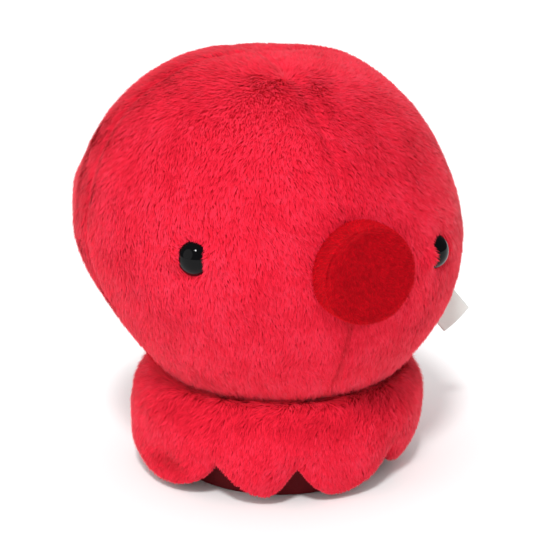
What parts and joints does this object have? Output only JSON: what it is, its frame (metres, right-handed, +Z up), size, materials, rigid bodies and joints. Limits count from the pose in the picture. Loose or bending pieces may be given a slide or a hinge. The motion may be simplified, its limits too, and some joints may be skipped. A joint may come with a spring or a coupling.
{
  "type": "plush octopus toy",
  "caption": "Soft plush octopus with a round head on a puffy skirt of short scalloped legs, a stuffed tube snout and domed eyes.",
  "frame": {"origin": "centre of the flat base panel, on the surface that the toy stands on", "axes": "+Z up, -Y out of the face along the snout, +X to the toy's own left, where the label is"},
  "size_m": [0.1493, 0.1438, 0.1499],
  "materials": {
    "plush_red": "matte",
    "short_pile_red": "matte",
    "lining_dark_red": "matte",
    "fibre_fill": "matte",
    "bag_cloth": "matte",
    "label_white": "satin",
    "eye_black": "polished",
    "washer_white": "satin"
  },
  "bodies": {
    "skirt": {"skirt_front": "plush_red", "skirt_back": "plush_red", "skirt_lining": "lining_dark_red", "base_panel": "lining_dark_red", "skirt_filling": "fibre_fill", "pellet_bag": "bag_cloth"},
    "neck": {"neck_seam_allowance": "plush_red"},
    "head": {"head_front_left": "plush_red", "head_front_right": "plush_red", "head_back_left": "plush_red", "head_back_right": "plush_red", "head_filling": "fibre_fill", "snout_side_band": "short_pile_red", "snout_end_disc": "short_pile_red", "snout_filling": "fibre_fill", "eye_left": "eye_black", "eye_right": "eye_black", "eye_washer_left": "washer_white", "eye_washer_right": "washer_white"},
    "label": {"care_label": "label_white"},
    "leg_a": {"leg_1": "plush_red"},
    "leg_b": {"leg_2": "plush_red"},
    "leg_c": {"leg_3": "plush_red"},
    "leg_d": {"leg_4": "plush_red"},
    "leg_e": {"leg_5": "plush_red"},
    "leg_f": {"leg_6": "plush_red"},
    "leg_g": {"leg_7": "plush_red"},
    "leg_h": {"leg_8": "plush_red"}
  },
  "joints": [
    {"name": "neck_nod", "type": "hinge", "parent": "skirt", "child": "neck", "pos_m": [0, 0, 0.0376], "axis": [1, 0, 0], "range_deg": [-10, 10], "stiffness_Nm_per_rad": 1, "deforming": ["skirt_front", "skirt_back", "neck_seam_allowance"]},
    {"name": "neck_lean", "type": "hinge", "parent": "neck", "child": "head", "pos_m": [0, 0, 0.0376], "axis": [0, 1, 0], "range_deg": [-8, 8], "stiffness_Nm_per_rad": 1, "deforming": ["neck_seam_allowance"]},
    {"name": "label_flap", "type": "hinge", "parent": "head", "child": "label", "pos_m": [0.05774, 0, 0.0592], "axis": [0.4005, 0, 0.9163], "range_deg": [-50, 50], "stiffness_Nm_per_rad": 0.002},
    {"name": "leg_1_swing", "type": "hinge", "parent": "skirt", "child": "leg_a", "pos_m": [0.00707, -0.04466, 0.01195], "axis": [-0.9877, -0.1564, 0], "range_deg": [-8, 20], "stiffness_Nm_per_rad": 0.02},
    {"name": "leg_2_swing", "type": "hinge", "parent": "skirt", "child": "leg_b", "pos_m": [0.03658, -0.02658, 0.01195], "axis": [-0.5878, -0.809, 0], "range_deg": [-8, 20], "stiffness_Nm_per_rad": 0.02},
    {"name": "leg_3_swing", "type": "hinge", "parent": "skirt", "child": "leg_c", "pos_m": [0.04466, 0.00707, 0.01195], "axis": [0.1564, -0.9877, 0], "range_deg": [-8, 20], "stiffness_Nm_per_rad": 0.02},
    {"name": "leg_4_swing", "type": "hinge", "parent": "skirt", "child": "leg_d", "pos_m": [0.02658, 0.03658, 0.01195], "axis": [0.809, -0.5878, 0], "range_deg": [-8, 20], "stiffness_Nm_per_rad": 0.02},
    {"name": "leg_5_swing", "type": "hinge", "parent": "skirt", "child": "leg_e", "pos_m": [-0.00707, 0.04466, 0.01195], "axis": [0.9877, 0.1564, 0], "range_deg": [-8, 20], "stiffness_Nm_per_rad": 0.02},
    {"name": "leg_6_swing", "type": "hinge", "parent": "skirt", "child": "leg_f", "pos_m": [-0.03658, 0.02658, 0.01195], "axis": [0.5878, 0.809, 0], "range_deg": [-8, 20], "stiffness_Nm_per_rad": 0.02},
    {"name": "leg_7_swing", "type": "hinge", "parent": "skirt", "child": "leg_g", "pos_m": [-0.04466, -0.00707, 0.01195], "axis": [-0.1564, 0.9877, 0], "range_deg": [-8, 20], "stiffness_Nm_per_rad": 0.02},
    {"name": "leg_8_swing", "type": "hinge", "parent": "skirt", "child": "leg_h", "pos_m": [-0.02658, -0.03658, 0.01195], "axis": [-0.809, 0.5878, 0], "range_deg": [-8, 20], "stiffness_Nm_per_rad": 0.02}
  ]
}
